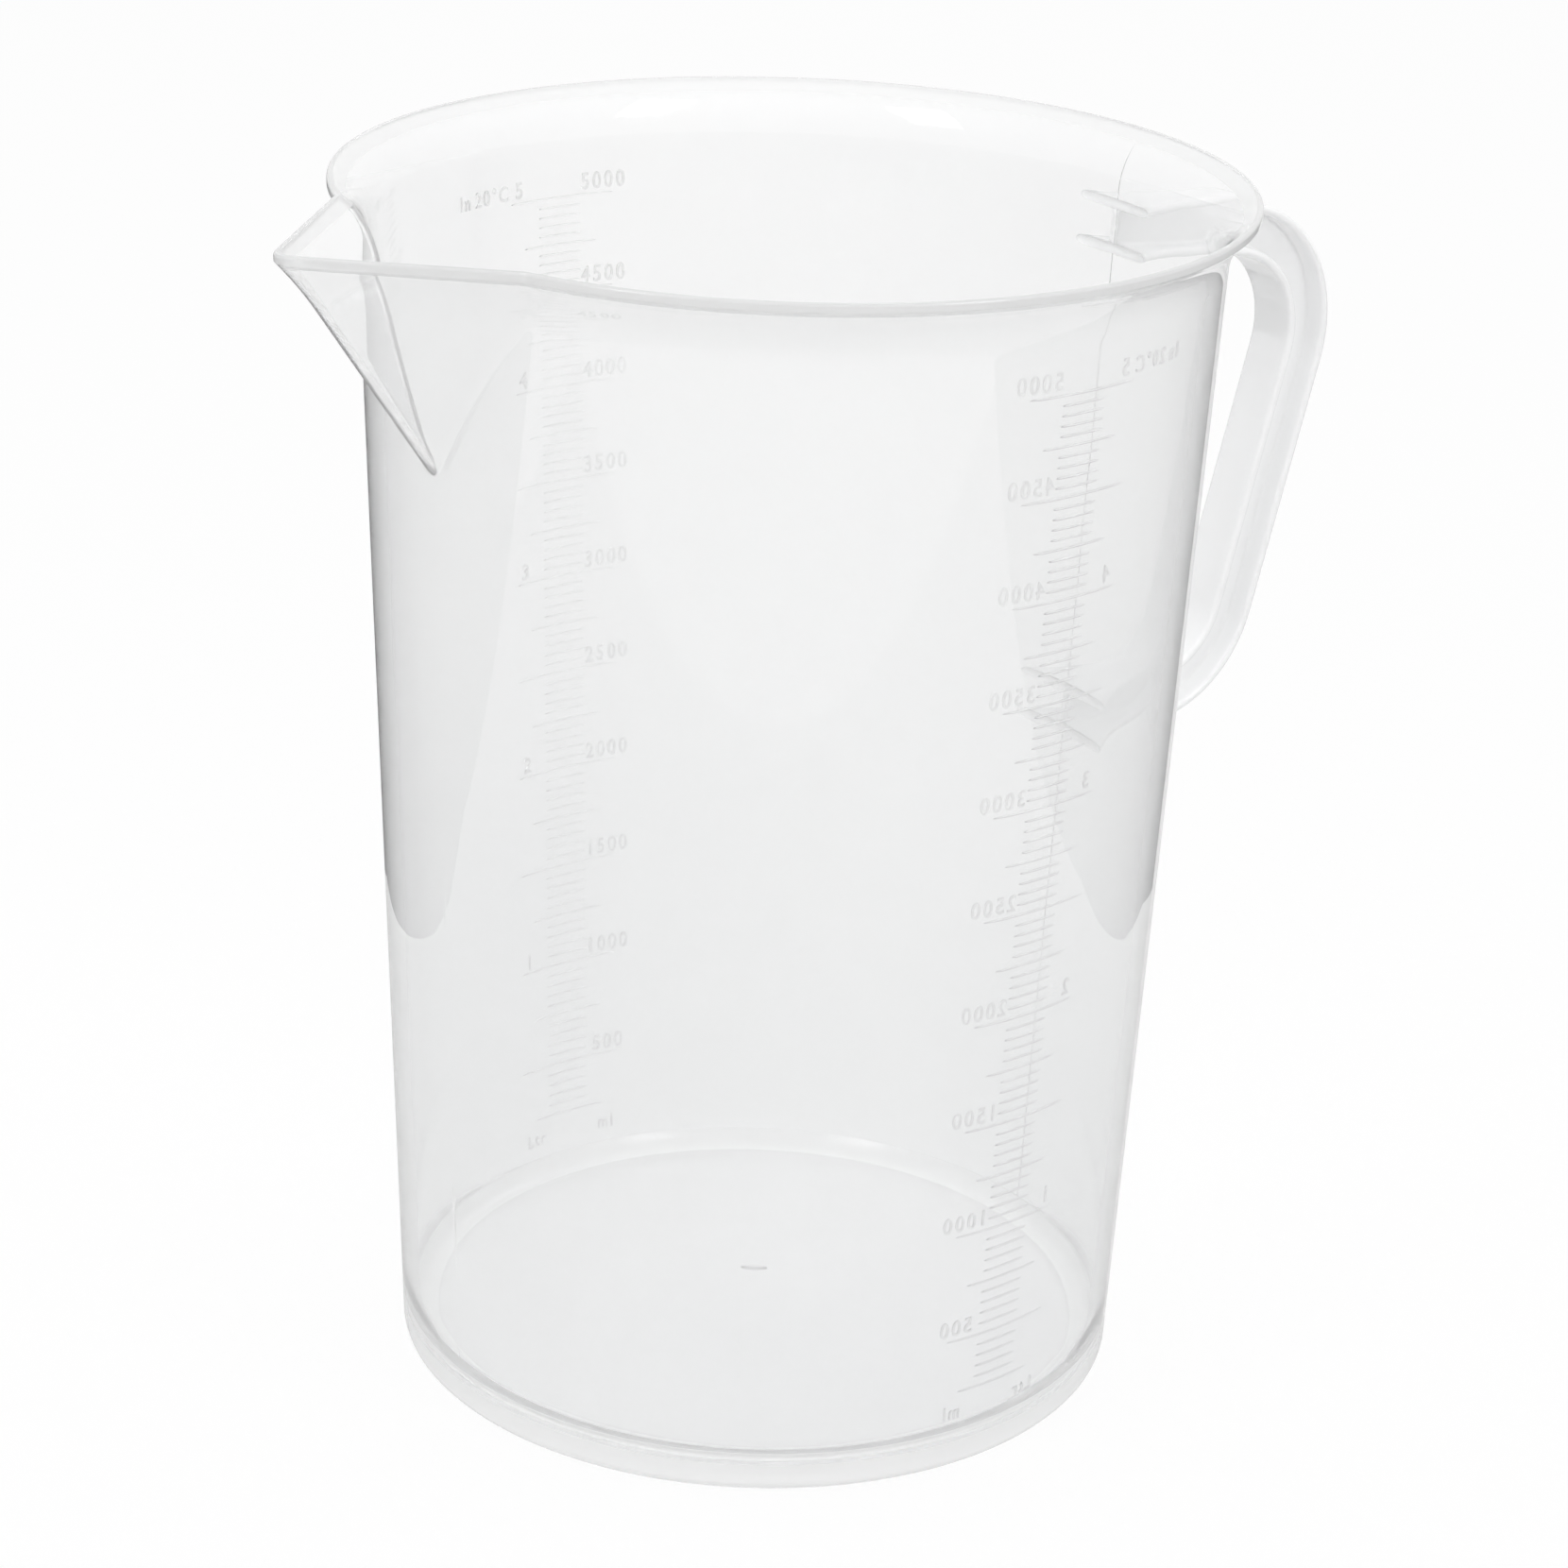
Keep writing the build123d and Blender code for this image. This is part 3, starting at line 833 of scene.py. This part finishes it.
def mixedOutput(tree, output, share, first, second):
    # Mix of two shaders by a share, led to the tree's output.
    mix = addNode(tree, "ShaderNodeMixShader", inputs={0: share, 1: first.outputs[0], 2: second.outputs[0]})
    addNode(tree, output, inputs={"Surface": mix.outputs[0]})


def emptyTree(holder):
    # Node tree of a material or a world, cleared of its first nodes.
    holder.use_nodes = True
    holder.node_tree.nodes.clear()
    return holder.node_tree


def makeWorld():
    # White to look at, and an even light a little below it.
    world = bpy.data.worlds.new("studio")
    tree = emptyTree(world)
    light = {"Color": (1, 1, 1, 1), "Strength": studio["ambient"]}
    lit = addNode(tree, "ShaderNodeBackground", inputs=light)
    white = addNode(tree, "ShaderNodeBackground", inputs={"Color": (1, 1, 1, 1)})
    mixedOutput(tree, "ShaderNodeOutputWorld", seenShare(tree), lit, white)
    scene.world = world


def makeFloor():
    # Pale table top that takes the object's shadow and otherwise looks white.
    side, level = studio["tableHalf"], -studio["tableDrop"]
    corners = [(-side, -side, level), (side, -side, level), (side, side, level), (-side, side, level)]
    floor = addFlat("tableTop", corners, [(0, 1, 2, 3)])
    material = bpy.data.materials.new("tableWhite")
    tree = emptyTree(material)
    tone = studio["paper"]
    paper = addNode(tree, "ShaderNodeBsdfDiffuse", inputs={"Color": (tone, tone, tone, 1)})
    glow = addNode(tree, "ShaderNodeEmission", inputs={"Color": (1, 1, 1, 1)})
    share = mathNode(tree, "MULTIPLY", seenShare(tree), studio["floorGlow"])
    mixedOutput(tree, "ShaderNodeOutputMaterial", share, paper, glow)
    floor.data.materials.append(material)


def makeLamps():
    # Two soft boxes over the camera's shoulders.
    front = math.degrees(math.atan2(view["place"][1], view["place"][0]))
    for name, turn in studio["lampSpread"].items():
        lamp = bpy.data.lights.new(name, "AREA")
        lamp.shape = "RECTANGLE"
        lamp.size, lamp.size_y = studio["lampSize"]
        lamp.energy = studio["lampPower"]
        azimuth, rise = math.radians(front + turn), math.radians(studio["lampRise"])
        level = math.cos(rise)
        away = Vector((math.cos(azimuth) * level, math.sin(azimuth) * level, math.sin(rise)))
        holder = addObject(name, lamp)
        holder.location = Vector((0, 0, studio["lampAim"])) + away * studio["lampDistance"]
        holder.rotation_euler = away.to_track_quat("Z", "Y").to_euler()


def glossCard(name, corners, faces, tone):
    # Card of one tone that only the gloss of the plastic picks up.
    card = addFlat(name, corners.tolist(), faces)
    material = bpy.data.materials.new(name)
    tree = emptyTree(material)
    paint = addNode(tree, "ShaderNodeEmission", inputs={"Color": (tone, tone, tone, 1)})
    addNode(tree, "ShaderNodeOutputMaterial", inputs={"Surface": paint.outputs[0]})
    card.data.materials.append(material)
    card.visible_camera = False
    card.visible_diffuse = False
    card.visible_shadow = False
    card.visible_transmission = False


def laid(outline, height):
    # Outline in the camera's own directions, turned into the frame at a height.
    face = math.radians(-view["heading"])
    turned = np.array([[math.cos(face), math.sin(face)], [-math.sin(face), math.cos(face)]])
    flat = np.array(outline) @ turned
    return np.column_stack([flat, np.full(len(flat), height)])


def makeSurround():
    # The white table top narrows towards the back, where its gloss is greyer. Past its edge
    # the room is dark, and a pale screen stands straight behind, on the handle's side.
    edge, high = np.array(surround["whiteEdge"]), surround["roomHeight"]
    room = np.concatenate([laid(edge, high), laid(edge * surround["roomSize"], high)])
    count = len(edge)
    faces = [[k, k + 1, count + k + 1, count + k] for k in range(count - 1)]
    glossCard("darkRoom", room, faces, surround["roomTone"])
    sheen = laid(surround["sheenEdge"], surround["sheenHeight"])
    glossCard("tableSheen", sheen, [[0, 1, 2, 3]], surround["sheenTone"])
    turn = math.radians(surround["screenTurn"])
    aside, far = surround["screenAside"], surround["screenLength"]
    outline = [(0, 0), (aside, 0), (aside + far * math.cos(turn), far * math.sin(turn)), (0, far)]
    screen = laid(outline, surround["screenHeight"])
    glossCard("screenSheen", screen, [[0, 1, 2, 3]], surround["screenTone"])


def makeCamera():
    # Camera turned to its heading and pitch, then rolled about its line of sight.
    heading, pitch, roll = (math.radians(view[key]) for key in ("heading", "pitch", "roll"))
    level = math.cos(pitch)
    forward = Vector((math.sin(heading) * level, math.cos(heading) * level, -math.sin(pitch)))
    right = forward.cross(Vector((0, 0, 1))).normalized()
    up = right.cross(forward)
    rolled = math.cos(roll) * right + math.sin(roll) * up
    upright = -math.sin(roll) * right + math.cos(roll) * up
    camera = addObject("camera", bpy.data.cameras.new("camera"))
    camera.data.lens = view["lens"]
    camera.data.sensor_width = view["sensor"]
    camera.data.clip_end = view["farthest"]
    axes = Matrix((rolled, upright, -forward)).transposed()
    camera.matrix_world = Matrix.Translation(view["place"]) @ axes.to_4x4()
    scene.camera = camera


makeWorld()
makeFloor()
makeSurround()
makeLamps()
makeCamera()
scene.view_settings.view_transform = "Standard"
bpy.context.scene.camera = scene.camera
print("studio ready")
